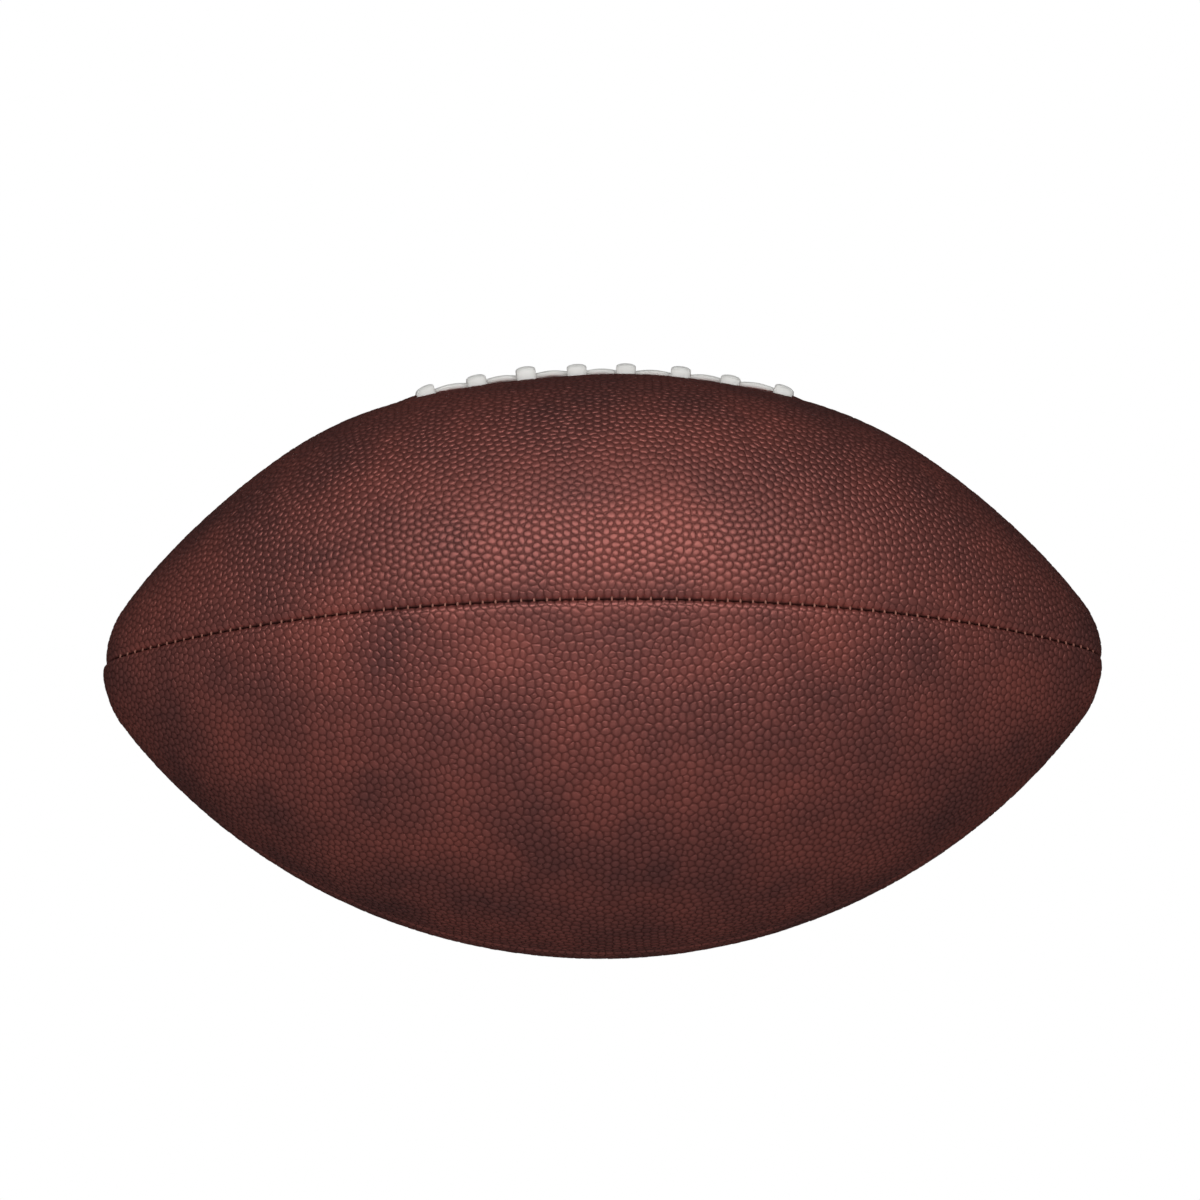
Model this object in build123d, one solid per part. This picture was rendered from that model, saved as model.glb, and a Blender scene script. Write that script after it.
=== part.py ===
from build123d import *
import math
import os

# American football: four sewn leather panels over linings and an air bladder, closed by one white lace.
# Millimetres. The origin is the ball's centre, +X runs along the ball and +Z passes through the lacing.

# Ball, measured over the leather
BALL_LENGTH = 286.0
BALL_DIAMETER = 168.0
TIP_RADIUS = 27.0

# Layers of the cover, from the outside in
LEATHER = 1.9
LINING = 1.2
BLADDER_WALL = 0.7
LAYER_GAP = 0.1

# Seams: the panel edges turn inward and are sewn through, face to face
SEAM_GAP = 0.4
SEAM_ROLL = 1.6
SEAM_ALLOWANCE = 6.4
THREAD = 0.9
THREAD_LOCK = 0.7
THREAD_CLEARANCE = 0.05
STITCH_PITCH = 3.6
STITCH_TIP_MARGIN = 6.0

# Lace: two long strands along the seam, under a row of cross laces
LACE_WIDTH = 5.7
LACE_THICKNESS = 2.0
LACE_BEND = 0.4
LACE_REST_GAP = 0.1
LACE_CLEARANCE = 0.25
STRAND_GAP = 0.2
CROSS_COUNT = 8
CROSS_PITCH = 14.9
CROSS_HOLE_SPACING = 20.0
CROSS_SHOULDER = 2.0
LACE_TAIL = 4.5

# Reinforcement under the lacing
SLIT_MARGIN = 7.0
FACING = 1.0
FACING_WIDTH = 17.0
TONGUE = 1.0
TONGUE_WIDTH = 27.0
TONGUE_OVERLAP = 8.0

# Valve, in the upper rear panel at mid-length
VALVE_ANGLE = 42.0
VALVE_HOLE = 7.0
VALVE_CLEARANCE = 0.15
VALVE_RECESS = 0.6
VALVE_LENGTH = 15.0
VALVE_WALL = 1.0
VALVE_FLANGE = 22.0
VALVE_FLANGE_THICKNESS = 1.0
PLUG_CLEARANCE = 0.1
NEEDLE_BORE = 2.4
NEEDLE_DEPTH = 9.0
PATCH = 0.5
PATCH_DIAMETER = 30.0

# Every cut runs past the faces that it opens by this much
OVERRUN = 5.0

# The meridian is one belly arc with a smaller tip arc tangent to it at each end
RADIUS = BALL_DIAMETER / 2
TIP_CENTRE = BALL_LENGTH / 2 - TIP_RADIUS
BELLY_RADIUS = (TIP_CENTRE**2 + RADIUS**2 - TIP_RADIUS**2) / (2 * (RADIUS - TIP_RADIUS))
BELLY_DROP = BELLY_RADIUS - RADIUS
TIP_LEAN = math.atan2(TIP_CENTRE, BELLY_DROP)
BELLY_ARC = BELLY_RADIUS * TIP_LEAN
HALF_ARC = BELLY_ARC + TIP_RADIUS * (math.pi / 2 - TIP_LEAN)

# Depths below the outside of the leather
LINING_TOP = LEATHER + LAYER_GAP
LINING_BOTTOM = LINING_TOP + LINING
PATCH_TOP = LINING_BOTTOM + LAYER_GAP
PATCH_BOTTOM = PATCH_TOP + PATCH
BLADDER_TOP = PATCH_BOTTOM + LAYER_GAP
BLADDER_BOTTOM = BLADDER_TOP + BLADDER_WALL
RIDGE_TOP = SEAM_ALLOWANCE + LAYER_GAP
FACING_TOP = LINING_BOTTOM + LAYER_GAP
FACING_BOTTOM = FACING_TOP + FACING

# A lace runs straight across the seam while the ball curves away beside it
CROSS_REACH = (CROSS_HOLE_SPACING + LACE_WIDTH) / 2
CROSS_SAG = RADIUS - math.sqrt(RADIUS**2 - CROSS_REACH**2)
RUN_REACH = (CROSS_PITCH + LACE_WIDTH) / 2
RUN_SAG = BELLY_RADIUS - math.sqrt(BELLY_RADIUS**2 - RUN_REACH**2)
RUN_TOP = FACING_BOTTOM + CROSS_SAG + RUN_SAG + LACE_REST_GAP
RUN_BOTTOM = RUN_TOP + LACE_THICKNESS
TONGUE_TOP = RUN_BOTTOM + LACE_REST_GAP
TONGUE_BOTTOM = TONGUE_TOP + TONGUE
POCKET_FLOOR = TONGUE_BOTTOM + LAYER_GAP

# Heights of the lace above the leather
STRAND_RISE = LACE_REST_GAP
STRAND_TOP = STRAND_RISE + LACE_THICKNESS
CROSS_RISE = STRAND_TOP + LACE_REST_GAP
CROSS_TOP = CROSS_RISE + LACE_THICKNESS

# Distances from a seam's middle plane
SEAM_FACE = SEAM_GAP / 2
LOCK_HALF = SEAM_FACE + LEATHER
THREAD_ROW = LOCK_HALF + THREAD_CLEARANCE + THREAD / 2
THREAD_EDGE = THREAD_ROW + THREAD / 2
LINING_EDGE = THREAD_EDGE + LAYER_GAP
STRAND_OFFSET = (LACE_WIDTH + STRAND_GAP) / 2
HOLE_OFFSET = CROSS_HOLE_SPACING / 2

# The thread lies under the leather, which curves down beside the seam most at the tips
THREAD_SAG = TIP_RADIUS - math.sqrt(TIP_RADIUS**2 - THREAD_EDGE**2)
STITCH_DEPTH = LEATHER + THREAD_SAG + THREAD / 2 + THREAD_CLEARANCE

# Places along the lacing and the seams, as arc lengths from the middle of the ball
CROSS_ARCS = [(i - (CROSS_COUNT - 1) / 2) * CROSS_PITCH for i in range(CROSS_COUNT)]
BEND_ARC = CROSS_ARCS[-1] + LACE_WIDTH / 2 + LACE_REST_GAP
LEG_ARC = BEND_ARC + LACE_BEND + LACE_THICKNESS / 2
SLIT_ARC = LEG_ARC + LACE_THICKNESS / 2 + SLIT_MARGIN
SEAM_ARC = HALF_ARC - STITCH_TIP_MARGIN


def on_meridian(arc, depth):
    """The point in the XZ plane at an arc length from the middle and a depth below the leather."""
    reach = abs(arc)
    if reach <= BELLY_ARC:
        lean = reach / BELLY_RADIUS
        x = (BELLY_RADIUS - depth) * math.sin(lean)
        z = (BELLY_RADIUS - depth) * math.cos(lean) - BELLY_DROP
    else:
        lean = TIP_LEAN + (reach - BELLY_ARC) / TIP_RADIUS
        x = TIP_CENTRE + (TIP_RADIUS - depth) * math.sin(lean)
        z = (TIP_RADIUS - depth) * math.cos(lean)
    return Vector(math.copysign(x, arc), 0, z)


def depth_of(point):
    """How far a point lies below the outside of the leather."""
    reach = math.hypot(point.Y, point.Z)
    if math.atan2(abs(point.X), reach + BELLY_DROP) <= TIP_LEAN:
        return BELLY_RADIUS - math.hypot(point.X, reach + BELLY_DROP)
    return TIP_RADIUS - math.hypot(abs(point.X) - TIP_CENTRE, reach)


def meridian(depth, start=-HALF_ARC, end=HALF_ARC):
    """The meridian at a depth, as tangent arcs between two arc lengths."""
    cuts = [start, *(cut for cut in (-BELLY_ARC, BELLY_ARC) if start < cut < end), end]
    arcs = []
    for low, high in zip(cuts, cuts[1:]):
        places = (low, (low + high) / 2, high)
        arcs.append(ThreePointArc(*(on_meridian(place, depth) for place in places)))
    return arcs


def band(top, bottom, start=-HALF_ARC, end=HALF_ARC):
    """The outline of a strip between two depths and two arc lengths."""
    outer = meridian(top, start, end)
    inner = meridian(bottom, start, end)
    ends = [Line(outer[0] @ 0, inner[0] @ 0), Line(outer[-1] @ 1, inner[-1] @ 1)]
    return Wire([*outer, *inner, *ends])


def body(depth):
    """The solid of revolution that lies that far below the leather."""
    outer = meridian(depth)
    axis = Line(outer[0] @ 0, outer[-1] @ 1)
    return revolve(make_face([*outer, axis]), Axis.X)


def shell(top, bottom):
    """The layer of the ball between two depths."""
    return body(top) - body(bottom)


def quadrant(inset):
    """The space above and behind the ball's axis, that far from both seam planes."""
    size = BALL_LENGTH + OVERRUN
    return Pos(0, inset, inset) * Box(size, size, size, align=(Align.CENTER, Align.MIN, Align.MIN))


def over_lacing(half_length, low_y, high_y):
    """The space above the ball's axis between two distances from the lacing's seam plane."""
    size = (2 * half_length, high_y - low_y, BALL_DIAMETER)
    return Pos(0, low_y, 0) * Box(*size, align=(Align.CENTER, Align.MIN, Align.MIN))


def swap_seams(shape):
    """The mirror image that exchanges the lacing's seam plane with the rear seam's."""
    return mirror(shape, Plane((0, 0, 0), (1, 0, 0), (0, 1, -1)))


def to_front(shape):
    return mirror(shape, Plane.XZ)


def to_bottom(shape):
    return mirror(shape, Plane.XY)


# Seams and stitching


def stitch_places(start, end):
    """Centres of evenly spaced stitches between two arc lengths."""
    count = int((end - start) / STITCH_PITCH) + 1
    first = (start + end - (count - 1) * STITCH_PITCH) / 2
    return [on_meridian(first + i * STITCH_PITCH, STITCH_DEPTH) for i in range(count)]


def turned_edge(start, end, low, high):
    """A panel's turned-in edge along the lacing's seam, with stitch holes between start and end."""
    holes = []
    for place in stitch_places(start, end):
        circle = Edge.make_circle(THREAD_LOCK / 2 + THREAD_CLEARANCE, Plane(place, (1, 0, 0), (0, -1, 0)))
        holes.append(Wire([circle]))
    face = Face(band(LEATHER / 2, SEAM_ALLOWANCE, low, high), holes)
    return Pos(0, SEAM_FACE, 0) * extrude(face, LEATHER, dir=(0, 1, 0))


def seam_thread(start, end):
    """Two rows of thread, one on each side of a seam, and the lock between them in every stitch hole."""
    path = Wire(meridian(STITCH_DEPTH, start, end))
    row = sweep(Plane(path @ 0, z_dir=path % 0) * Circle(THREAD / 2), path)
    lock = Rot(X=90) * Cylinder(THREAD_LOCK / 2, 2 * LOCK_HALF)
    locks = [Pos(place) * lock for place in stitch_places(start + THREAD, end - THREAD)]
    return Compound([Pos(0, THREAD_ROW, 0) * row, Pos(0, -THREAD_ROW, 0) * row, *locks])


# Leather panels and linings


def roll_edges(panel):
    """Rounds the panel's outside over into its two seam faces."""
    rolled = []
    for edge in panel.edges():
        middle = edge @ 0.5
        off_seam = min(abs(middle.Y - SEAM_FACE), abs(middle.Z - SEAM_FACE))
        if max(off_seam, depth_of(middle)) < LAYER_GAP:
            rolled.append(edge)
    return fillet(rolled, SEAM_ROLL)


def panel(edges_at_lacing):
    """A panel in the upper rear quadrant; each turned edge is (start, end, low, high) in arc lengths."""
    space = quadrant(SEAM_FACE)
    whole = (-SEAM_ARC + THREAD, SEAM_ARC - THREAD, -HALF_ARC, HALF_ARC)
    edges = [turned_edge(*edge) for edge in edges_at_lacing]
    edges.append(swap_seams(turned_edge(*whole)))
    joined = (shell(0, LEATHER) & space).fuse(*(edge & space for edge in edges))
    return roll_edges(joined.clean())


def lower_panel():
    return panel([(-SEAM_ARC + THREAD, SEAM_ARC - THREAD, -HALF_ARC, HALF_ARC)])


def upper_panel():
    """The turned edge stops at both ends of the lacing's slit."""
    start, end = SLIT_ARC + THREAD, SEAM_ARC - THREAD
    return panel([(start, end, SLIT_ARC, HALF_ARC), (-end, -start, -HALF_ARC, -SLIT_ARC)]) - lace_holes()


def lining():
    return shell(LINING_TOP, LINING_BOTTOM) & quadrant(LINING_EDGE)


# Lacing


def lace_frame(arc):
    """A place on the leather along the lacing: x along the ball, z outward."""
    point = on_meridian(arc, 0)
    inner = on_meridian(arc, LEATHER)
    outward = (point - inner).normalized()
    return Location(Plane(point, (outward.Z, 0, -outward.X), outward))


def upright(size_x, size_y, bottom, top):
    """A block along local z, from a depth below the leather to a height above it."""
    return Pos(0, 0, -bottom) * Box(size_x, size_y, bottom + top, align=(Align.CENTER, Align.CENTER, Align.MIN))


def lace_holes():
    """Everything that the lace needs clear through the cover."""
    slack = 2 * LACE_CLEARANCE
    cross = upright(LACE_WIDTH + slack, LACE_THICKNESS + slack, RUN_TOP, CROSS_TOP)
    holes = [lace_frame(arc) * Pos(0, side * HOLE_OFFSET, 0) * cross for arc in CROSS_ARCS for side in (-1, 1)]
    strands = upright(LACE_THICKNESS + slack, 2 * (STRAND_OFFSET + LACE_CLEARANCE) + LACE_WIDTH, RUN_TOP, CROSS_TOP)
    holes += [lace_frame(side * LEG_ARC) * strands for side in (-1, 1)]
    return holes


def cross_lace():
    """One arch over the strands, down through a hole on each side."""
    outer_width = CROSS_HOLE_SPACING + LACE_THICKNESS
    inner_width = CROSS_HOLE_SPACING - LACE_THICKNESS
    outer = arch(outer_width, RUN_BOTTOM, CROSS_TOP, CROSS_SHOULDER + LACE_THICKNESS)
    return outer - arch(inner_width, RUN_BOTTOM, CROSS_RISE, CROSS_SHOULDER)


def arch(width, bottom, top, shoulder):
    """A block across the seam with rounded shoulders."""
    block = upright(LACE_WIDTH, width, bottom, top)
    return fillet(block.edges().filter_by(Axis.X).group_by(Axis.Z)[-1], shoulder)


def strand(offset):
    """One long strand with its two ends bent down through the slit."""
    length = Face(band(-STRAND_TOP, -STRAND_RISE, -BEND_ARC, BEND_ARC))
    length = Pos(0, offset, 0) * extrude(length, LACE_WIDTH / 2, dir=(0, 1, 0), both=True)
    ring = Rot(X=90) * (Cylinder(LACE_BEND + LACE_THICKNESS, LACE_WIDTH) - Cylinder(LACE_BEND, LACE_WIDTH))
    corner = Box(LACE_WIDTH, LACE_WIDTH, LACE_WIDTH, align=(Align.MIN, Align.CENTER, Align.MIN))
    bend = Pos(0, 0, STRAND_RISE - LACE_BEND) * (ring & corner)
    leg = Pos(LEG_ARC - BEND_ARC, 0, 0) * upright(LACE_THICKNESS, LACE_WIDTH, RUN_BOTTOM, STRAND_RISE - LACE_BEND)
    right = lace_frame(BEND_ARC) * Pos(0, offset, 0) * (bend + leg)
    return length.fuse(right, mirror(right, Plane.YZ))


def inside_run(start, end):
    """A straight run of lace under the facing between two (arc, offset) places."""
    middle = (start[0] + end[0]) / 2
    depth = (RUN_TOP + RUN_BOTTOM) / 2
    along = on_meridian((end[0] - start[0]) / 2, depth).X * 2
    across = end[1] - start[1]
    turn = Rot(Z=math.degrees(math.atan2(across, along)))
    flat = SlotCenterToCenter(math.hypot(along, across), LACE_WIDTH)
    place = lace_frame(middle) * Pos(0, (start[1] + end[1]) / 2, -RUN_BOTTOM)
    return place * turn * extrude(flat, LACE_THICKNESS)


def lace():
    """One lace: out along a strand, back along the other, then over and under through every hole."""
    pieces = [strand(STRAND_OFFSET), strand(-STRAND_OFFSET)]
    pieces += [lace_frame(arc) * cross_lace() for arc in CROSS_ARCS]
    pieces.append(inside_run((LEG_ARC, -STRAND_OFFSET), (LEG_ARC, STRAND_OFFSET)))
    pieces.append(inside_run((-LEG_ARC, -STRAND_OFFSET), (CROSS_ARCS[0], -HOLE_OFFSET)))
    for here, after in zip(CROSS_ARCS, CROSS_ARCS[1:]):
        pieces.append(inside_run((here, HOLE_OFFSET), (after, -HOLE_OFFSET)))
    pieces.append(inside_run((-LEG_ARC, STRAND_OFFSET), (-LEG_ARC - LACE_TAIL, STRAND_OFFSET)))
    pieces.append(inside_run((CROSS_ARCS[-1], HOLE_OFFSET), (CROSS_ARCS[-1] + LACE_TAIL, HOLE_OFFSET)))
    return pieces[0].fuse(*pieces[1:])


def lace_facing():
    """The reinforcing strip behind the rear row of holes."""
    half_length = on_meridian(SLIT_ARC, SEAM_ALLOWANCE).X - LACE_CLEARANCE
    strip = shell(FACING_TOP, FACING_BOTTOM) & over_lacing(half_length, SEAM_FACE, FACING_WIDTH)
    return strip - lace_holes()


def tongue_half_length():
    return on_meridian(SLIT_ARC + TONGUE_OVERLAP, TONGUE_TOP).X


def lace_tongue():
    """The flap that keeps the lace off the bladder."""
    half_width = TONGUE_WIDTH / 2
    return shell(TONGUE_TOP, TONGUE_BOTTOM) & over_lacing(tongue_half_length(), -half_width, half_width)


# Bladder and valve


def bladder_form(inward):
    """The bladder's outside, or its inside when moved inward by the wall: grooved at the seams, flat at the lacing."""
    size = BALL_LENGTH
    ridge = 2 * (LINING_EDGE + inward)
    lobes = body(BLADDER_TOP + inward) - Box(size, ridge, size) - Box(size, size, ridge)
    half_width = FACING_WIDTH + LAYER_GAP + inward
    pocket = over_lacing(tongue_half_length() + LAYER_GAP + inward, -half_width, half_width)
    return body(RIDGE_TOP + inward).fuse(lobes) - (pocket - body(POCKET_FLOOR + inward))


def valve_frame():
    """The valve's place on the leather: z outward."""
    lean = math.radians(VALVE_ANGLE)
    outward = Vector(0, math.sin(lean), math.cos(lean))
    return Location(Plane(outward * RADIUS, (1, 0, 0), outward))


def round_post(diameter, top, bottom):
    """A cylinder along the valve between two depths below the leather."""
    post = Cylinder(diameter / 2, bottom - top, align=(Align.CENTER, Align.CENTER, Align.MAX))
    return valve_frame() * Pos(0, 0, -top) * post


def valve_hole():
    return round_post(VALVE_HOLE, -OVERRUN, BLADDER_BOTTOM + OVERRUN)


def bladder():
    return bladder_form(0) - bladder_form(BLADDER_WALL) - valve_hole()


def valve_body():
    """A rubber tube with a flange bonded inside the bladder's wall."""
    tube = VALVE_HOLE - 2 * VALVE_CLEARANCE
    bottom = VALVE_RECESS + VALVE_LENGTH
    flange_top = BLADDER_BOTTOM + LAYER_GAP
    disc = round_post(VALVE_FLANGE, -OVERRUN, bottom)
    flange = shell(flange_top, flange_top + VALVE_FLANGE_THICKNESS) & disc
    outside = round_post(tube, VALVE_RECESS, bottom) + flange
    seat = round_post(tube - 2 * VALVE_WALL, VALVE_RECESS, bottom - VALVE_WALL)
    air_hole = round_post(NEEDLE_BORE, VALVE_RECESS, bottom)
    return outside - seat - air_hole


def valve_plug():
    """The self-sealing plug that the inflation needle pushes into."""
    plug = VALVE_HOLE - 2 * (VALVE_CLEARANCE + VALVE_WALL + PLUG_CLEARANCE)
    bottom = VALVE_RECESS + VALVE_LENGTH - VALVE_WALL - PLUG_CLEARANCE
    return round_post(plug, VALVE_RECESS, bottom) - round_post(NEEDLE_BORE, VALVE_RECESS, VALVE_RECESS + NEEDLE_DEPTH)


def valve_patch():
    """The stiffening disc between the bladder and the lining."""
    disc = shell(PATCH_TOP, PATCH_BOTTOM) & round_post(PATCH_DIAMETER, -OVERRUN, BLADDER_BOTTOM + OVERRUN)
    return disc - valve_hole()


def all_parts():
    upper = upper_panel()
    lower = to_bottom(lower_panel())
    lined = lining()
    laced = lined - lace_holes()
    facing = lace_facing()
    seam = seam_thread(-SEAM_ARC, SEAM_ARC)
    lace_seam = seam_thread(SLIT_ARC, SEAM_ARC)
    return {
        "panel_upper_front": to_front(upper),
        "panel_upper_rear": upper - valve_hole(),
        "panel_lower_front": to_front(lower),
        "panel_lower_rear": lower,
        "lining_upper_front": to_front(laced),
        "lining_upper_rear": laced - valve_hole(),
        "lining_lower_front": to_front(to_bottom(lined)),
        "lining_lower_rear": to_bottom(lined),
        "seam_thread_front": Rot(X=90) * seam,
        "seam_thread_rear": Rot(X=-90) * seam,
        "seam_thread_bottom": Rot(X=180) * seam,
        "seam_thread_lace_left": mirror(lace_seam, Plane.YZ),
        "seam_thread_lace_right": lace_seam,
        "lace": lace(),
        "lace_facing_front": to_front(facing),
        "lace_facing_rear": facing,
        "lace_tongue": lace_tongue(),
        "bladder": bladder(),
        "valve_body": valve_body(),
        "valve_plug": valve_plug(),
        "valve_patch": valve_patch(),
    }


os.makedirs("parts", exist_ok=True)
for node, shape in all_parts().items():
    export_step(shape, f"parts/{node}.step")
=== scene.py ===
import math

import bpy
import numpy as np
from mathutils import Matrix, Vector, geometry


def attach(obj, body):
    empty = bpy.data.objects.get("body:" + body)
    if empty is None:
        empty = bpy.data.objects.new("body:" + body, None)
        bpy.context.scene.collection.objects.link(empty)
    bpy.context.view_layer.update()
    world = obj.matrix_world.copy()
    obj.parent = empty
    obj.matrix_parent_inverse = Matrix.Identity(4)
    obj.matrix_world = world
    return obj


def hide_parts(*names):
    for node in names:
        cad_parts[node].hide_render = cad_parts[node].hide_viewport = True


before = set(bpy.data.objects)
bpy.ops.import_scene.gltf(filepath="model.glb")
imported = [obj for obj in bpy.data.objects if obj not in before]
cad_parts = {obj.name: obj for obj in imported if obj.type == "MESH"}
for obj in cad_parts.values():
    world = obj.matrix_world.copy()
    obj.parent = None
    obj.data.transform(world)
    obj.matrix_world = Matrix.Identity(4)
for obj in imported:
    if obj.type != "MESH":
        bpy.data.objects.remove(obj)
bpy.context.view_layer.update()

# American football dressed for the photograph. Lengths are in millimetres until a mesh is made.

MM = 0.001

# Ball, as in the solids
HALF_LENGTH = 143.0
RADIUS = 84.0
TIP_RADIUS = 27.0

# Seams: the leather rolls over into them, in a smaller roll near the tips, where they close up
SEAM_ROLL = 1.8
TIP_SEAM_ROLL = 0.9
ROLL_GROWTH_SHARE = 0.03
# Half the gap between two panels, the depth of their turned edges, and the hole where they meet at a tip
SEAM_FACE = 0.15
SEAM_DEPTH = 3.0
TIP_HOLE = 0.8
# At the left tip the upper panels end a little short of the lower ones
TIP_TUCK = 0.9
TIP_TUCK_REACH = 18.0

# Leather grain: pebbles a little larger round the ball's middle than at its tips
PEBBLE = 2.3
MIDDLE_PEBBLE_SHARE = 1.07
TIP_LOSS_SHARE = 0.13
PEBBLE_HEIGHT = 0.36
HEIGHT_SHARES = (0.8, 1.15)
# A pebble's flat top and its rounded shoulder, as shares of the way from its middle to its side
TOP_SHARE = 0.66
SHOULDER_SHARE = 0.87
# How high the valley and the shoulder stand, as shares of the pebble's height
VALLEY_SHARE = -0.1
SHOULDER_HEIGHT_SHARE = 0.8
# The pebbles start in rows, every other row shifted, and stray from them by shares of a pebble
ROW_SHIFT_SHARE = 0.25
STRAY_SHARE = 0.3
EDGE_STRAY_SHARE = 0.12
# The share of the panel's length that holds seeds, and their least angle from a seam
SEEDED_SHARE = 0.998
SEED_ANGLE = 0.004
MIRROR_REACH = 4 * PEBBLE
EVENING_ROUNDS = 5
MIDDLE_TONE = 0.5
# A row of pebbles lies along each seam, its middles this far from it, up to this far from the tips
EDGE_ROW = 1.0
EDGE_ROW_TIP_MARGIN = 12.0
# Pebbles are lower near a seam: the share of their height that is left there, and where it grows
SEAM_HEIGHT_SHARE = 0.2
GROWTH_START_SHARE = 0.2
GROWTH_REACH = 3.0
# The leather is rubbed smoother and paler within this distance of a seam; the paler colour there is also
# a painted highlight along the seam's rolled edge
WORN_AND_HIGHLIGHT_REACH = 1.5

# Pull of the lacing: the leather lies flatter beside it, most of all a little left of its middle
FLAT_DROP = 1.3
FLAT_REACH = 50.0
FLAT_STEEPNESS = 4
DENT_DROP = 0.8
DENT_PLACE = -13.0
DENT_REACH = 20.0
PULL_ANGLE = 0.62
# Past the lacing's ends it stands fuller
LEFT_FULLNESS = 2.2
RIGHT_FULLNESS = 1.5
FULL_PLACE = 78.0
FULL_REACH = 27.0
# Along the slit it ridges up, higher towards the ends, and round the middle enough to carry the strands
RIDGE_HEIGHT = 0.55
RIDGE_GROWTH = 2.95
RIDGE_SPAN = 45.0
RIDGE_REACH = 58.0
RIDGE_STEEPNESS = 10
RIDGE_WIDTH = 7.0
SUPPORT_GAP = 0.3
SUPPORT_REACH = 34.0
# It dips where the lace goes in
HOLE_DIMPLE = 0.6
HOLE_DIMPLE_REACH = 2.6

# Lacing, as in the solids
LACE_WIDTH = 5.7
LACE_THICKNESS = 2.0
CROSS_COUNT = 8
CROSS_PITCH = 14.9
HOLE_OFFSET = 10.0
# How far each cross lace lies to the right of its even place and above its even height, left to right
CROSS_SLIDES = (1.7, 1.7, 1.1, 0.8, 0.0, 0.8, 0.3, 0.9)
CROSS_LIFTS = (0.5, 0.0, 0.0, -0.6, -0.5, -0.1, -0.3, 0.5)
# How many degrees each cross lace tips up at its right side
CROSS_TIPS = (10, 0, 0, 0, 0, 0, 0, -6)
# A cross lace from its middle to a hole, as distances from the slit and heights above the leather
CROSS_PATH = ((0, 2.95), (3.5, 2.95), (7.0, 2.85), (9.4, 2.2), (HOLE_OFFSET, 0), (HOLE_OFFSET, -4))

# Long strands, sloping down on their outer sides by some degrees, as the leather under them does
STRAND_OFFSET = 2.87
STRAND_SLOPE = 12.0
# Their height, its rise towards the ends and the swelling between cross laces
STRAND_HEIGHT = 1.0
STRAND_END_RISE = 1.25
STRAND_SWELL = 0.75
# They dive into the slit this far past the middle of the last cross lace
STRAND_END = 2.4
STRAND_DIVE = 0.4
STRAND_TAIL = 0.4
STRAND_TAIL_DEPTH = 5.0

# Seam thread, pitched as in the solids; the long seams have a few more stitches at the right tip
STITCH_PITCH = 3.6
STITCH_TIP_MARGIN = 17.0
RIGHT_TIP_STITCHES = 2
# Beyond the lacing the upper seam is stitched from this far from the middle
LACE_SEAM_START = 64.0
# A stitch's loop, as distances from the seam and depths below the leather
STITCH_ACROSS = (-1.45, -0.65, 0, 0.65, 1.45)
STITCH_DEPTHS = (2.4, 1.15, 0.95, 1.15, 2.4)
STITCH_WIDTH = 0.62
STITCH_THICKNESS = 0.6

# How square the bands' sections are, where 2 is an ellipse
CROSS_SQUARENESS = 2.05
STRAND_SQUARENESS = 3.2
STITCH_SQUARENESS = 2.2

# Fineness: points round a section, steps along a path, places in the map's table
CROSS_POINTS = 28
STRAND_POINTS = 24
STITCH_POINTS = 8
CROSS_STEPS = 8
STRAND_STEPS = 140
STITCH_STEPS = 5
MAP_COUNT = 4000

# Valve, as in the solids, with a ring of pebbles round its hole
VALVE_ANGLE = 42.0
VALVE_HOLE_RADIUS = 3.5
RIM_COUNT = 18
RIM_OFFSET = 1.0
RIM_ROOM = 1.5 * PEBBLE

# Leather, in metres: soft patches of two colours, with their size, detail and roughness
LEATHER_DARK = (0.061, 0.0230, 0.0215)
LEATHER_LIGHT = (0.116, 0.0340, 0.0280)
LEATHER_PATCHES = (0.028, 4, 0.55)
PATCH_STOPS = (0.32, 0.68)
# Shades of single pebbles; of valleys and shoulders, darker partly in the dye and partly as painted
# shade; and of the edges along the seams, paler partly from rubbing and partly as a painted highlight
PEBBLE_SHADES = (0.92, 1.08)
# Painted shade: valleys and shoulders are darkened partly in the dye and partly as shade in the creases
# between pebbles
VALLEY_DYE_AND_SHADE = 0.38
SHOULDER_DYE_AND_SHADE = 0.87
# Painted highlight and wear: the colour multiplier for the seam edges
WORN_AND_HIGHLIGHT_SHADE = (1.3, 1.3, 1.3)
# Its gloss and its pores
VALLEY_ROUGHNESS = 0.70
TOP_ROUGHNESS = 0.40
WORN_ROUGHNESS = (0.28, 0.28, 0.28)
PORE_SIZE = 0.0006
PORE_DEPTH = 0.00008
PORE_STRENGTH = 0.25
LEATHER_IOR = 1.9
LEATHER_TINT = (1, 0.36, 0.31, 1)

# Plain materials, in metres: light and dark colour, grain size, roughness and grain depth
LACE_VINYL = ((0.87, 0.87, 0.84), (0.83, 0.83, 0.80), 0.0006, 0.5, 0.00006)
WAXED_THREAD = ((0.20, 0.080, 0.060), (0.155, 0.062, 0.047), 0.0002, 0.6, 0.00004)
LINING_CLOTH = ((0.55, 0.50, 0.42), (0.48, 0.43, 0.36), 0.0006, 0.9, 0.0001)
BLACK_RUBBER = ((0.03, 0.03, 0.03), (0.02, 0.02, 0.02), 0.0008, 0.6, 0.00004)
GRAINS_PER_PATCH = 8
PLAIN_STOPS = (0.35, 0.65)
PLAIN_BUMP = 0.4

# Camera, in metres and degrees; its aim is in pixels of the picture from the ball's middle
CAMERA_DISTANCE = 2.0
CAMERA_ELEVATION = -13.0
CAMERA_ROLL = -0.5
CAMERA_LENS = 209.2
CAMERA_SENSOR = 36
CAMERA_CLIP = (0.05, 20)
PICTURE_WIDTH = 0.3442
PICTURE_PIXELS = 1200
AIM_RIGHT = -2.5
AIM_UP = 63.8

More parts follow.
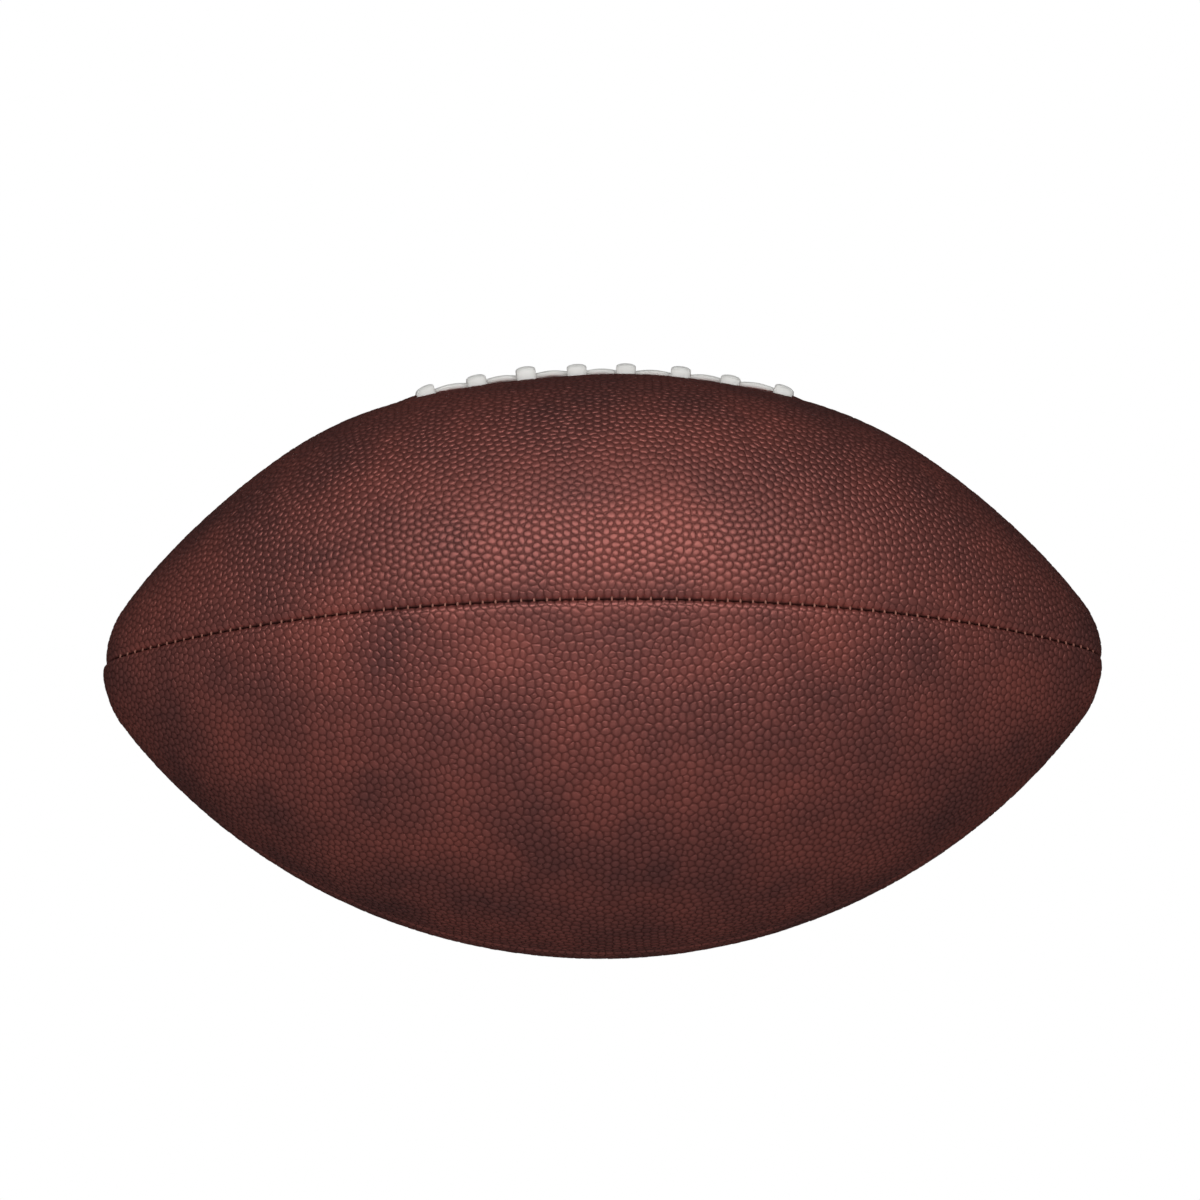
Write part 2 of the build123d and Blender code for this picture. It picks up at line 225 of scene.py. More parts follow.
# Floor and surroundings, in metres
FLOOR_REACH = 6.0
FLOOR_GAP = 0.0004
SHADOW_REACH = 0.2
SHADOW_SHADE = 0.45
WORLD_COLOUR = (0.5, 0.5, 0.5, 1)
WORLD_STRENGTH = 0.065
# Lamps: place, size, power, and whether glossy surfaces mirror them
LAMPS = {
    "softbox": ((0, -0.90, 0.63), (1.35, 0.30), 5.4, True),
    "front_fill": ((0, -1.03, -0.39), (1.3, 0.6), 20.0, False),
    "back_fill": ((0, 0.93, 0.36), (1.6, 0.6), 13.0, False),
}

# The meridian is one belly arc with a smaller tip arc tangent to it at each end
TIP_CENTRE = HALF_LENGTH - TIP_RADIUS
BELLY_RADIUS = (TIP_CENTRE**2 + RADIUS**2 - TIP_RADIUS**2) / (2 * (RADIUS - TIP_RADIUS))
BELLY_DROP = BELLY_RADIUS - RADIUS
TIP_LEAN = math.atan2(TIP_CENTRE, BELLY_DROP)
BELLY_ARC = BELLY_RADIUS * TIP_LEAN
HALF_ARC = BELLY_ARC + TIP_RADIUS * (math.pi / 2 - TIP_LEAN)
END_ARC = HALF_ARC - TIP_HOLE
EVEN_ARCS = [(i - (CROSS_COUNT - 1) / 2) * CROSS_PITCH for i in range(CROSS_COUNT)]
CROSS_ARCS = [place + slide for place, slide in zip(EVEN_ARCS, CROSS_SLIDES)]
QUARTER = math.pi / 2


def on_meridian(arc, depth):
    """Distance along the ball and from its axis, at an arc length and a depth, for whole arrays."""
    arc = np.asarray(arc, float)
    reach = np.abs(arc)
    belly = reach <= BELLY_ARC
    lean = np.where(belly, reach / BELLY_RADIUS, TIP_LEAN + (reach - BELLY_ARC) / TIP_RADIUS)
    radius = np.where(belly, BELLY_RADIUS, TIP_RADIUS) - depth
    x = np.where(belly, 0, TIP_CENTRE) + radius * np.sin(lean)
    z = np.where(belly, -BELLY_DROP, 0) + radius * np.cos(lean)
    return np.sign(arc) * x, z, np.sign(arc) * lean


def on_ball(arc, angle, depth):
    """Points at an arc length, an angle from the lacing to the rear, and a depth below the leather."""
    x, reach, _ = on_meridian(arc, depth)
    return np.stack([x, reach * np.sin(angle), reach * np.cos(angle)], axis=-1)


# Conformal map of the ball's side, in which a small round pebble stays round
MAP_ARCS = np.linspace(0, END_ARC, MAP_COUNT)
MAP_RADII = on_meridian(MAP_ARCS, 0)[1]
MAP_STEPS = np.diff(MAP_ARCS) * (1 / MAP_RADII[1:] + 1 / MAP_RADII[:-1]) / 2
MAP_REACH = np.concatenate([[0], np.cumsum(MAP_STEPS)])
MAP_END = MAP_REACH[-1]


def to_map(arc):
    """Place along the map at an arc length."""
    return np.sign(arc) * np.interp(np.abs(arc), MAP_ARCS, MAP_REACH)


def from_map(place):
    """Arc length at a place along the map."""
    return np.sign(place) * np.interp(np.abs(place), MAP_REACH, MAP_ARCS)


def bell(away, reach, steepness=2):
    """A smooth bump: one in its middle, and gone past its reach."""
    return np.exp(-((away / reach) ** steepness))


# Objects


def new_piece(name, points, faces, material, replaced):
    """A smooth mesh in the row frame that stands for CAD nodes and rides on the ball."""
    mesh = bpy.data.meshes.new(name)
    mesh.from_pydata((np.asarray(points) * MM).tolist(), [], faces)
    mesh.polygons.foreach_set("use_smooth", [True] * len(mesh.polygons))
    piece = bpy.data.objects.new(name, mesh)
    bpy.context.collection.objects.link(piece)
    mesh.materials.append(material)
    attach(piece, "root")
    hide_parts(*replaced)
    return piece


def paint(piece, name, values):
    """Keeps one number per vertex for the material to read."""
    layer = piece.data.attributes.new(name, "FLOAT", "POINT")
    layer.data.foreach_set("value", np.asarray(values, np.float32))


# Leather panels


def pebble_size(arc):
    """Width of a pebble, larger round the ball's middle, where the leather is stretched."""
    return PEBBLE * (MIDDLE_PEBBLE_SHARE - TIP_LOSS_SHARE * (arc / END_ARC) ** 2)


def scatter_pebbles(rng, valve):
    """Seeds of the grain over one panel, as map places, in loose rows."""
    seeds = []
    row_start = -END_ARC
    while row_start < END_ARC:
        size = pebble_size(row_start)
        row_height = size * math.sqrt(3) / 2
        arc = min(row_start + row_height / 2, END_ARC)
        reach = float(on_meridian(arc, 0)[1])
        count = max(1, round(reach * QUARTER / size))
        shift = (ROW_SHIFT_SHARE if len(seeds) % 2 else -ROW_SHIFT_SHARE) * (count > 1)
        spread = (np.arange(count) + 0.5 + shift) / count
        along = to_map(arc + rng.normal(0, STRAY_SHARE * size, count))
        across = spread * QUARTER + rng.normal(0, STRAY_SHARE * size, count) / reach
        seeds.append(np.stack([along, across], axis=-1))
        row_start += row_height
    seeds = np.concatenate(seeds)
    far = MAP_END * SEEDED_SHARE
    seeds = np.clip(seeds, [-far, SEED_ANGLE], [far, QUARTER - SEED_ANGLE])
    if valve is not None:
        seeds = seeds[np.hypot(*(seeds - valve).T) * RADIUS > VALVE_HOLE_RADIUS + RIM_ROOM]
    return seeds


def with_mirrors(seeds, valve):
    """Adds mirror images past the panel's edges and the hole's rim, so that the cells end on them."""
    kept = seeds
    for axis, edge in ((1, 0), (1, QUARTER), (0, -MAP_END), (0, MAP_END)):
        reach = on_meridian(from_map(kept[:, 0]), 0)[1]
        near = np.abs(kept[:, axis] - edge) * reach < MIRROR_REACH
        image = kept[near].copy()
        image[:, axis] = 2 * edge - image[:, axis]
        kept = np.concatenate([kept, image])
    if valve is not None:
        outer = rim_seeds(valve) - valve
        inner = outer * (VALVE_HOLE_RADIUS - RIM_OFFSET) / (VALVE_HOLE_RADIUS + RIM_OFFSET)
        kept = np.concatenate([kept, valve + inner])
    return kept


def rim_seeds(valve):
    """Evenly spaced seeds around the valve's hole."""
    turns = np.arange(RIM_COUNT) / RIM_COUNT * 2 * math.pi
    ring = np.stack([np.cos(turns), np.sin(turns)], axis=-1)
    return valve + (VALVE_HOLE_RADIUS + RIM_OFFSET) / RADIUS * ring


def cells(seeds, valve):
    """The cell around each seed: corner places, and for each cell its corners in order round it."""
    real = len(seeds)
    every = with_mirrors(seeds, valve)
    made = geometry.delaunay_2d_cdt([Vector(p) for p in every.tolist()], [], [], 0, 1e-12, False)
    triangles = np.array([f for f in made[2] if len(f) == 3])
    a, b, c = (every[triangles[:, i]] for i in range(3))
    u, v = b - a, c - a
    size = 2 * (u[:, 0] * v[:, 1] - u[:, 1] * v[:, 0])
    uu, vv = (u * u).sum(1), (v * v).sum(1)
    shift = np.stack([v[:, 1] * uu - u[:, 1] * vv, u[:, 0] * vv - v[:, 0] * uu], axis=-1) / size[:, None]
    centres = np.round(a + shift, 9)
    corners, names = np.unique(centres, axis=0, return_inverse=True)
    owner = triangles.ravel()
    corner = np.repeat(names.ravel(), 3)
    inside = owner < real
    pairs = np.unique(np.stack([owner[inside], corner[inside]], axis=-1), axis=0)
    offset = corners[pairs[:, 1]] - seeds[pairs[:, 0]]
    order = np.lexsort([np.arctan2(offset[:, 1], offset[:, 0]), pairs[:, 0]])
    pairs = pairs[order]
    first = np.searchsorted(pairs[:, 0], np.arange(real))
    counts = np.bincount(pairs[:, 0], minlength=real)
    following = np.arange(len(pairs)) + 1
    following[first + counts - 1] = first
    return corners, pairs, following, counts


def cell_centres(corners, pairs, counts):
    """The mean of each cell's corners."""
    sums = np.zeros((len(counts), 2))
    np.add.at(sums, pairs[:, 0], corners[pairs[:, 1]])
    return sums / counts[:, None]


def seam_roll(reach):
    """Radius of the leather's roll into a seam, smaller at the tips, where the seam closes up."""
    return np.minimum(SEAM_ROLL, TIP_SEAM_ROLL + ROLL_GROWTH_SHARE * reach)


def seam_drop(distance, reach):
    """How far the leather has rolled over at a distance from a seam plane."""
    roll = seam_roll(reach)
    short = np.clip(roll - distance, 0, roll)
    return roll - np.sqrt(roll**2 - short**2)


def lacing_drop(arc, angle):
    """The pull of the lacing: how far the leather lies below its even place, or above it if negative."""
    x, reach, _ = on_meridian(arc, 0)
    flat = FLAT_DROP * bell(x, FLAT_REACH, FLAT_STEEPNESS) + DENT_DROP * bell(x - DENT_PLACE, DENT_REACH)
    fullness = np.where(x < 0, LEFT_FULLNESS, RIGHT_FULLNESS)
    full = fullness * bell(np.abs(x) - FULL_PLACE, FULL_REACH)
    support = (flat - SUPPORT_GAP) * bell(x, SUPPORT_REACH, FLAT_STEEPNESS)
    ridge = RIDGE_HEIGHT + RIDGE_GROWTH * (x / RIDGE_SPAN) ** 2 + support
    ridge = ridge * bell(x, RIDGE_REACH, RIDGE_STEEPNESS)
    return (flat - full) * bell(angle, PULL_ANGLE) - ridge * bell(reach * angle, RIDGE_WIDTH)


def hole_dimple(arc, angle, reach):
    """The leather dips where the lace goes in."""
    drop = np.zeros_like(arc)
    for place in CROSS_ARCS:
        away = np.hypot(arc - place, reach * np.sin(angle) - HOLE_OFFSET)
        drop += HOLE_DIMPLE * bell(away, HOLE_DIMPLE_REACH)
    return drop


def panel_points(places, height, laced):
    """Map places on a panel, raised by the grain's height, as points in the upper rear quadrant."""
    arc, angle = from_map(places[:, 0]), places[:, 1]
    reach = on_meridian(arc, 0)[1]
    first, second = reach * np.sin(angle), reach * np.cos(angle)
    depth = np.hypot(seam_drop(first, reach), seam_drop(second, reach))
    if laced:
        depth = depth + lacing_drop(arc, angle) + hole_dimple(arc, angle, reach)
        depth = depth + TIP_TUCK * (arc < 0) * bell(HALF_ARC + arc, TIP_TUCK_REACH)
    growth = np.clip(np.minimum(first, second) / GROWTH_REACH - GROWTH_START_SHARE, 0, 1)
    height = height * (SEAM_HEIGHT_SHARE + (1 - SEAM_HEIGHT_SHARE) * growth)
    points = on_ball(arc, angle, depth - height)
    points[:, 1:] += SEAM_FACE
    return points


def edge_loop(corners, axis, value):
    """Corner numbers along one edge of the map, in order."""
    found = np.nonzero(np.abs(corners[:, axis] - value) < 1e-6)[0]
    return found[np.argsort(corners[found, 1 - axis])]


def edge_seeds(rng):
    """A row of seeds along each seam, so that the leather rolls evenly into it."""
    end = HALF_ARC - EDGE_ROW_TIP_MARGIN
    rows = []
    for side in (1, -1):
        arcs = np.arange(-end, end, PEBBLE)
        arcs = arcs + rng.normal(0, EDGE_STRAY_SHARE * PEBBLE, len(arcs))
        angle = np.arcsin(EDGE_ROW / on_meridian(arcs, 0)[1])
        rows.append(np.stack([to_map(arcs), angle if side > 0 else QUARTER - angle], axis=-1))
    return np.concatenate(rows)


def clear_of_edges(seeds):
    """The seeds that leave room for the rows along the seams."""
    arc = from_map(seeds[:, 0])
    away = np.minimum(seeds[:, 1], QUARTER - seeds[:, 1]) * on_meridian(arc, 0)[1]
    return seeds[(away > 2 * EDGE_ROW) | (np.abs(arc) > HALF_ARC - EDGE_ROW_TIP_MARGIN)]


def relaxed_seeds(rng, valve):
    """Seeds of the grain, evened out so that the pebbles are about alike."""
    scattered = scatter_pebbles(rng, valve)
    rows = edge_seeds(rng)
    seeds = np.concatenate([rows, clear_of_edges(scattered)])
    for _ in range(EVENING_ROUNDS):
        corners, pairs, _, counts = cells(seeds, valve)
        seeds = cell_centres(corners, pairs, counts)
        seeds[: len(rows)] = rows
    return seeds if valve is None else np.concatenate([seeds, rim_seeds(valve)])


def grain(rng, valve):
    """The grain of one panel: valley corners, all places with them first, their values, and faces."""
    seeds = relaxed_seeds(rng, valve)
    corners, pairs, following, counts = cells(seeds, valve)
    middles = cell_centres(corners, pairs, counts)
    used, corner = np.unique(pairs[:, 1], return_inverse=True)
    corners, corner, owner = corners[used], corner.ravel(), pairs[:, 0]
    next_corner = corner[following]
    reach = (corners[corner] + corners[next_corner]) / 2 - middles[owner]
    places = [corners, middles[owner] + reach * SHOULDER_SHARE, middles[owner] + reach * TOP_SHARE]
    tall = (PEBBLE_HEIGHT * rng.uniform(*HEIGHT_SHARES, len(seeds)))[owner]
    heights = [np.full(len(corners), VALLEY_SHARE * PEBBLE_HEIGHT), tall * SHOULDER_HEIGHT_SHARE, tall]
    tone = rng.uniform(0, 1, len(seeds))[owner]
    tones = [np.full(len(corners), MIDDLE_TONE), tone, tone]
    raised = [np.zeros(len(corners)), np.full(len(owner), SHOULDER_HEIGHT_SHARE), np.ones(len(owner))]
    shoulder = len(corners) + np.arange(len(owner))
    top = shoulder + len(owner)
    next_shoulder, next_top = shoulder[following], top[following]
    faces = np.stack([top, shoulder, next_shoulder, next_top], axis=-1).tolist()
    faces += np.stack([shoulder, corner, next_corner], axis=-1).tolist()
    faces += np.stack([shoulder, next_corner, next_shoulder], axis=-1).tolist()
    faces += [part.tolist() for part in np.split(top, np.cumsum(counts)[:-1])]
    return corners, np.concatenate(places), [np.concatenate(v) for v in (heights, tones, raised)], faces


def make_panel(name, seed, signs, laced, valve, material):
    """One leather panel: a raised pebble in every cell, edges rolled over and turned into the seams."""
    corners, places, (heights, tones, raised), faces = grain(np.random.default_rng(seed), valve)
    points = panel_points(places, heights, laced)
    loops = [edge_loop(corners, 1, 0), edge_loop(corners, 1, QUARTER)]
    loops += [edge_loop(corners, 0, -MAP_END), edge_loop(corners, 0, MAP_END)]
    for loop in loops:
        arc, angle = from_map(corners[loop, 0]), corners[loop, 1]
        skirt = on_ball(arc, angle, SEAM_DEPTH)
        low = len(points) + np.arange(len(loop))
        points = np.concatenate([points, skirt])
        raised = np.concatenate([raised, np.zeros(len(loop))])
        tones = np.concatenate([tones, np.full(len(loop), MIDDLE_TONE)])
        faces += np.stack([loop[:-1], loop[1:], low[1:], low[:-1]], axis=-1).tolist()
    points = points * np.array([1, *signs])
    if signs[0] * signs[1] < 0:
        faces = [face[::-1] for face in faces]
    piece = new_piece(name, points, faces, material, [name])
    paint(piece, "raised", raised)
    paint(piece, "tone", tones)
    # A mask that is one at a seam and fades within its reach, for rubbed wear and a painted highlight
    # along the seam's edge
    away = np.zeros(len(points))
    reach = on_meridian(from_map(places[:, 0]), 0)[1]
    away[: len(places)] = reach * np.minimum(np.sin(places[:, 1]), np.cos(places[:, 1]))
    paint(piece, "worn_and_highlight", bell(away, WORN_AND_HIGHLIGHT_REACH))


# Materials


def new_material(name):
    """A material with its nodes, links and shader."""
    material = bpy.data.materials.new(name)
    material.use_nodes = True
    nodes = material.node_tree.nodes
    return material, nodes, material.node_tree.links, nodes["Principled BSDF"]


def attribute(nodes, name):
    """The number that each vertex keeps under a name."""
    node = nodes.new("ShaderNodeAttribute")
    node.attribute_name = name
    return node.outputs["Fac"]


def noise(nodes, links, scale, detail, roughness=0.5):
    """Soft noise fixed to the object, with a scale in metres."""
    place = nodes.new("ShaderNodeTexCoord")
    node = nodes.new("ShaderNodeTexNoise")
    node.inputs["Scale"].default_value = 1 / scale
    node.inputs["Detail"].default_value = detail
    node.inputs["Roughness"].default_value = roughness
    links.new(place.outputs["Object"], node.inputs["Vector"])
    return node.outputs["Fac"]


def ramp(nodes, links, source, stops):
    """Maps a number to colours or numbers."""
    node = nodes.new("ShaderNodeValToRGB")
    band = node.color_ramp
    while len(band.elements) < len(stops):
        band.elements.new(0.5)
    for element, (place, colour) in zip(band.elements, stops):
        element.position = place
        element.color = (*colour, 1) if isinstance(colour, tuple) else (colour, colour, colour, 1)
    links.new(source, node.inputs["Fac"])
    return node.outputs["Color"]


def blend(nodes, links, how, amount, first, second):
    """Mixes two colours; amount may be a number or a socket."""
    node = nodes.new("ShaderNodeMix")
    node.data_type = "RGBA"
    node.blend_type = how
    for socket, value in ((node.inputs[0], amount), (node.inputs[6], first), (node.inputs[7], second)):
        if isinstance(value, (int, float)):
            socket.default_value = value
        elif isinstance(value, tuple):
            socket.default_value = (*value, 1)
        else:
            links.new(value, socket)
    return node.outputs[2]


def leather_material():
    """Mottled leather with glossy pebbles, valleys and shoulders darkened partly by dye and partly by
    painted shade, and seam edges rubbed smoother and painted paler, partly wear and partly a painted
    highlight.
    """
    material, nodes, links, shader = new_material("pebbled_leather")
    raised = attribute(nodes, "raised")
    tone = attribute(nodes, "tone")
    patches = noise(nodes, links, *LEATHER_PATCHES)
    mottle = ramp(nodes, links, patches, list(zip(PATCH_STOPS, (LEATHER_DARK, LEATHER_LIGHT))))
    shade = ramp(nodes, links, tone, list(zip((0.0, 1.0), PEBBLE_SHADES)))
    varied = blend(nodes, links, "MULTIPLY", 1.0, mottle, shade)
    # The seam edges are painted paler, partly rubbed wear and partly a painted highlight; they are also
    # smoother
    worn_and_highlight = attribute(nodes, "worn_and_highlight")
    varied = blend(nodes, links, "MULTIPLY", worn_and_highlight, varied, WORN_AND_HIGHLIGHT_SHADE)
    # Painted shade towards the valleys between pebbles, on top of darker dye there
    stops = [(0.0, VALLEY_DYE_AND_SHADE), (SHOULDER_HEIGHT_SHARE, SHOULDER_DYE_AND_SHADE), (1.0, 1.0)]
    valley = ramp(nodes, links, raised, stops)
    links.new(blend(nodes, links, "MULTIPLY", 1.0, varied, valley), shader.inputs["Base Color"])
    stops = [(0.0, VALLEY_ROUGHNESS), (SHOULDER_HEIGHT_SHARE, TOP_ROUGHNESS)]
    rough = ramp(nodes, links, raised, stops)
    links.new(blend(nodes, links, "MIX", worn_and_highlight, rough, WORN_ROUGHNESS), shader.inputs["Roughness"])
    add_bump(nodes, links, shader, PORE_SIZE, PORE_DEPTH, PORE_STRENGTH)
    shader.inputs["IOR"].default_value = LEATHER_IOR
    shader.inputs["Specular IOR Level"].default_value = 1.0
    shader.inputs["Specular Tint"].default_value = LEATHER_TINT
    return material


def add_bump(nodes, links, shader, size, depth, strength):
    """Fine grain over a surface."""
    bump = nodes.new("ShaderNodeBump")
    bump.inputs["Strength"].default_value = strength
    bump.inputs["Distance"].default_value = depth
    links.new(noise(nodes, links, size, 2), bump.inputs["Height"])
    links.new(bump.outputs["Normal"], shader.inputs["Normal"])


def plain_material(name, light, dark, size, rough, depth):
    """Mottled matter with a fine grain, for cloth, thread, lace and rubber."""
    material, nodes, links, shader = new_material(name)
    patches = noise(nodes, links, size * GRAINS_PER_PATCH, 3)
    colour = ramp(nodes, links, patches, list(zip(PLAIN_STOPS, (dark, light))))
    links.new(colour, shader.inputs["Base Color"])
    add_bump(nodes, links, shader, size, depth, PLAIN_BUMP)
    shader.inputs["Roughness"].default_value = rough
    return material


# Tubes and bands


def sweep(path, frames, section):
    """Points and faces of a closed tube: a section carried along a path by its side and up axes."""
    rings, count = len(path), len(section)
    side, up = frames
    points = path[:, None] + side[:, None] * section[None, :, :1] + up[:, None] * section[None, :, 1:]
    index = np.arange(rings * count).reshape(rings, count)
    after = np.roll(index, -1, axis=1)
    faces = np.stack([index[:-1], after[:-1], after[1:], index[1:]], axis=-1).reshape(-1, 4).tolist()
    faces += [index[0][::-1].tolist(), index[-1].tolist()]
    return points.reshape(-1, 3), faces


def rounded_section(width, height, squareness, count):
    """A flat band's section with softly rounded corners."""
    turns = np.arange(count) / count * 2 * math.pi
    cosine, sine = np.cos(turns), np.sin(turns)
    across = np.sign(cosine) * np.abs(cosine) ** (2 / squareness) * width / 2
    up = np.sign(sine) * np.abs(sine) ** (2 / squareness) * height / 2
    return np.stack([across, up], axis=-1)


def join(parts):
    """One list of points and faces from several."""
    points, faces, start = [], [], 0
    for some_points, some_faces in parts:
        points.append(some_points)
        faces += [[corner + start for corner in face] for face in some_faces]
        start += len(some_points)
    return np.concatenate(points), faces


def lace_axes(arc):
    """A place on the top seam, and the directions along the ball, to the rear and outward there."""
    x, z, lean = on_meridian(arc, 0)
    along = np.array([math.cos(lean), 0, -math.sin(lean)])
    outward = np.array([math.sin(lean), 0, math.cos(lean)])
    return np.array([x, 0, z]), along, np.array([0.0, 1.0, 0.0]), outward


# Lace


def smooth_path(corners, steps):
    """Points along a smooth curve that rounds off a row of corners."""
    corners = np.asarray(corners, float)
    curve = bpy.data.curves.new("path", "CURVE")
    curve.dimensions = "3D"
    spline = curve.splines.new("NURBS")
    spline.points.add(len(corners) - 1)
    weighted = np.concatenate([corners, np.ones((len(corners), 1))], axis=1)
    spline.points.foreach_set("co", weighted.ravel())
    spline.order_u = 3
    spline.use_endpoint_u = True
    spline.resolution_u = steps
    holder = bpy.data.objects.new("path", curve)
    line = bpy.data.meshes.new_from_object(holder)
    points = np.array([v.co[:] for v in line.vertices])
    bpy.data.objects.remove(holder)
    bpy.data.curves.remove(curve)
    bpy.data.meshes.remove(line)
    return points


def directions(path):
    """Unit directions along a path."""
    step = np.gradient(path, axis=0)
    return step / np.linalg.norm(step, axis=1, keepdims=True)


def cross_lace(arc, lift, tip):
    """One cross lace: up out of its front hole, over the strands and down through the rear hole."""
    origin, along, rear, outward = lace_axes(arc)
    shape = [(-y, z) for y, z in CROSS_PATH[:0:-1]] + list(CROSS_PATH)
    corners = [origin + rear * y + outward * (z + lift) for y, z in shape]
    path = smooth_path(corners, CROSS_STEPS)
    tipped = along * math.cos(math.radians(tip)) + outward * math.sin(math.radians(tip))
    side = np.repeat(tipped[None], len(path), axis=0)
    up = np.cross(side, directions(path))
    section = rounded_section(LACE_WIDTH, LACE_THICKNESS, CROSS_SQUARENESS, CROSS_POINTS)
    return sweep(path, (side, up), section)


def strand(offset):
    """One long strand: flat under the cross laces, swelling between them, its ends down in the slit."""
    arcs = np.linspace(CROSS_ARCS[0] - STRAND_END, CROSS_ARCS[-1] + STRAND_END, STRAND_STEPS)
    path = []
    for arc in arcs:
        origin, _, rear, outward = lace_axes(arc)
        turns = np.interp(arc, CROSS_ARCS, range(CROSS_COUNT))
        swell = STRAND_SWELL * (0.5 - 0.5 * math.cos(2 * math.pi * turns))
        past = max(0.0, CROSS_ARCS[0] - arc, arc - CROSS_ARCS[-1])
        rise = STRAND_END_RISE * (arc / RIDGE_SPAN) ** 2
        height = STRAND_HEIGHT + rise + swell - STRAND_DIVE * past**2
        path.append(origin + rear * offset + outward * height)
    tails = []
    for arc in (arcs[0], arcs[-1]):
        origin, along, rear, outward = lace_axes(arc)
        slant = along * np.sign(arc) * STRAND_TAIL - outward * STRAND_TAIL_DEPTH
        tails.append(origin + rear * offset + slant)
    path = np.array([tails[0], *path, tails[1]])
    slope = math.copysign(math.radians(STRAND_SLOPE), offset)
    side = np.repeat(np.array([[0.0, -math.cos(slope), math.sin(slope)]]), len(path), axis=0)
    up = np.cross(side, directions(path))
    section = rounded_section(LACE_WIDTH, LACE_THICKNESS, STRAND_SQUARENESS, STRAND_POINTS)
    return sweep(path, (side, up), section)


def make_lace(material):
    """The lace that shows: two long strands under the cross laces."""
    parts = [strand(STRAND_OFFSET), strand(-STRAND_OFFSET)]
    parts += [cross_lace(*place) for place in zip(CROSS_ARCS, CROSS_LIFTS, CROSS_TIPS)]
    points, faces = join(parts)
    new_piece("lace", points, faces, material, ["lace"])


# Seam thread


def stitches(arcs, angle):
    """Thread bridging the groove of a seam, one short loop per stitch."""
    section = rounded_section(STITCH_WIDTH, STITCH_THICKNESS, STITCH_SQUARENESS, STITCH_POINTS)
    parts = []
    for arc in arcs:
        roll = float(seam_roll(on_meridian(arc, 0)[1]))
        across = np.array(STITCH_ACROSS) * roll / SEAM_ROLL
        depth = np.array(STITCH_DEPTHS) * roll / SEAM_ROLL
        x, reach, _ = on_meridian(np.full(len(depth), arc), depth)
        path = smooth_path(np.stack([x, across, reach], axis=-1), STITCH_STEPS)
        side = np.repeat(lace_axes(arc)[1][None], len(path), axis=0)
        parts.append(sweep(path, (side, np.cross(side, directions(path))), section))
    points, faces = join(parts)
    cosine, sine = math.cos(angle), math.sin(angle)
    turn = np.array([[1, 0, 0], [0, cosine, -sine], [0, sine, cosine]])
    return points @ turn.T, faces


def make_threads(material):
    """The thread of each seam."""
    end = HALF_ARC - STITCH_TIP_MARGIN
    whole = np.arange(-end, end + RIGHT_TIP_STITCHES * STITCH_PITCH, STITCH_PITCH)
    ends = np.arange(LACE_SEAM_START, end, STITCH_PITCH)
    layout = {
        "seam_thread_front": (whole, math.pi / 2),
        "seam_thread_rear": (whole, -math.pi / 2),
        "seam_thread_bottom": (whole, math.pi),
        "seam_thread_lace_left": (-ends, 0),
        "seam_thread_lace_right": (ends, 0),
    }
    for node, (arcs, angle) in layout.items():
        points, faces = stitches(arcs, angle)
        new_piece(node, points, faces, material, [node])


# Camera, floor and light


def make_camera():
    """A long lens, a little below the ball's middle."""
    elevation, roll = math.radians(CAMERA_ELEVATION), math.radians(CAMERA_ROLL)
    back = Vector((0, -math.cos(elevation), math.sin(elevation)))
    turn = (-back).to_track_quat("-Z", "Y").to_matrix() @ Matrix.Rotation(roll, 3, "Z")
    data = bpy.data.cameras.new("camera")
    data.lens = CAMERA_LENS
    data.sensor_width = CAMERA_SENSOR
    data.clip_start, data.clip_end = CAMERA_CLIP
    camera = bpy.data.objects.new("camera", data)
    right, up = turn.col[0], turn.col[1]
    across = right * (AIM_RIGHT / PICTURE_PIXELS * PICTURE_WIDTH)
    above = up * (AIM_UP / PICTURE_PIXELS * PICTURE_WIDTH)
    place = across + above + back * CAMERA_DISTANCE
    camera.matrix_world = Matrix.Translation(place) @ turn.to_4x4()
    bpy.context.collection.objects.link(camera)
    bpy.context.scene.camera = camera


def make_floor():
    """A white floor with a soft shadow under the ball, clear when seen from below."""
    mesh = bpy.data.meshes.new("floor")
    height = -RADIUS * MM - FLOOR_GAP
    signs = ((-1, -1), (1, -1), (1, 1), (-1, 1))
    corners = [(x * FLOOR_REACH, y * FLOOR_REACH, height) for x, y in signs]
    mesh.from_pydata(corners, [], [(0, 1, 2, 3)])
    floor = bpy.data.objects.new("floor", mesh)
    bpy.context.collection.objects.link(floor)
    material, nodes, links, shader = new_material("floor")
    nodes.remove(shader)
    covered = nodes.new("ShaderNodeAmbientOcclusion")
    covered.inputs["Distance"].default_value = SHADOW_REACH
    white = nodes.new("ShaderNodeEmission")
    shade = ramp(nodes, links, covered.outputs["AO"], [(0.0, SHADOW_SHADE), (1.0, 1.0)])
    links.new(shade, white.inputs["Color"])
    clear = nodes.new("ShaderNodeBsdfTransparent")
    facing = nodes.new("ShaderNodeNewGeometry")
    rays = nodes.new("ShaderNodeLightPath")
    seen = nodes.new("ShaderNodeMath")
    seen.operation = "SUBTRACT"
    seen.use_clamp = True
    links.new(rays.outputs["Is Camera Ray"], seen.inputs[0])
    links.new(facing.outputs["Backfacing"], seen.inputs[1])
    mix = nodes.new("ShaderNodeMixShader")
    links.new(seen.outputs["Value"], mix.inputs["Fac"])
    links.new(clear.outputs["BSDF"], mix.inputs[1])
    links.new(white.outputs["Emission"], mix.inputs[2])
    links.new(mix.outputs["Shader"], nodes["Material Output"].inputs["Surface"])
    mesh.materials.append(material)


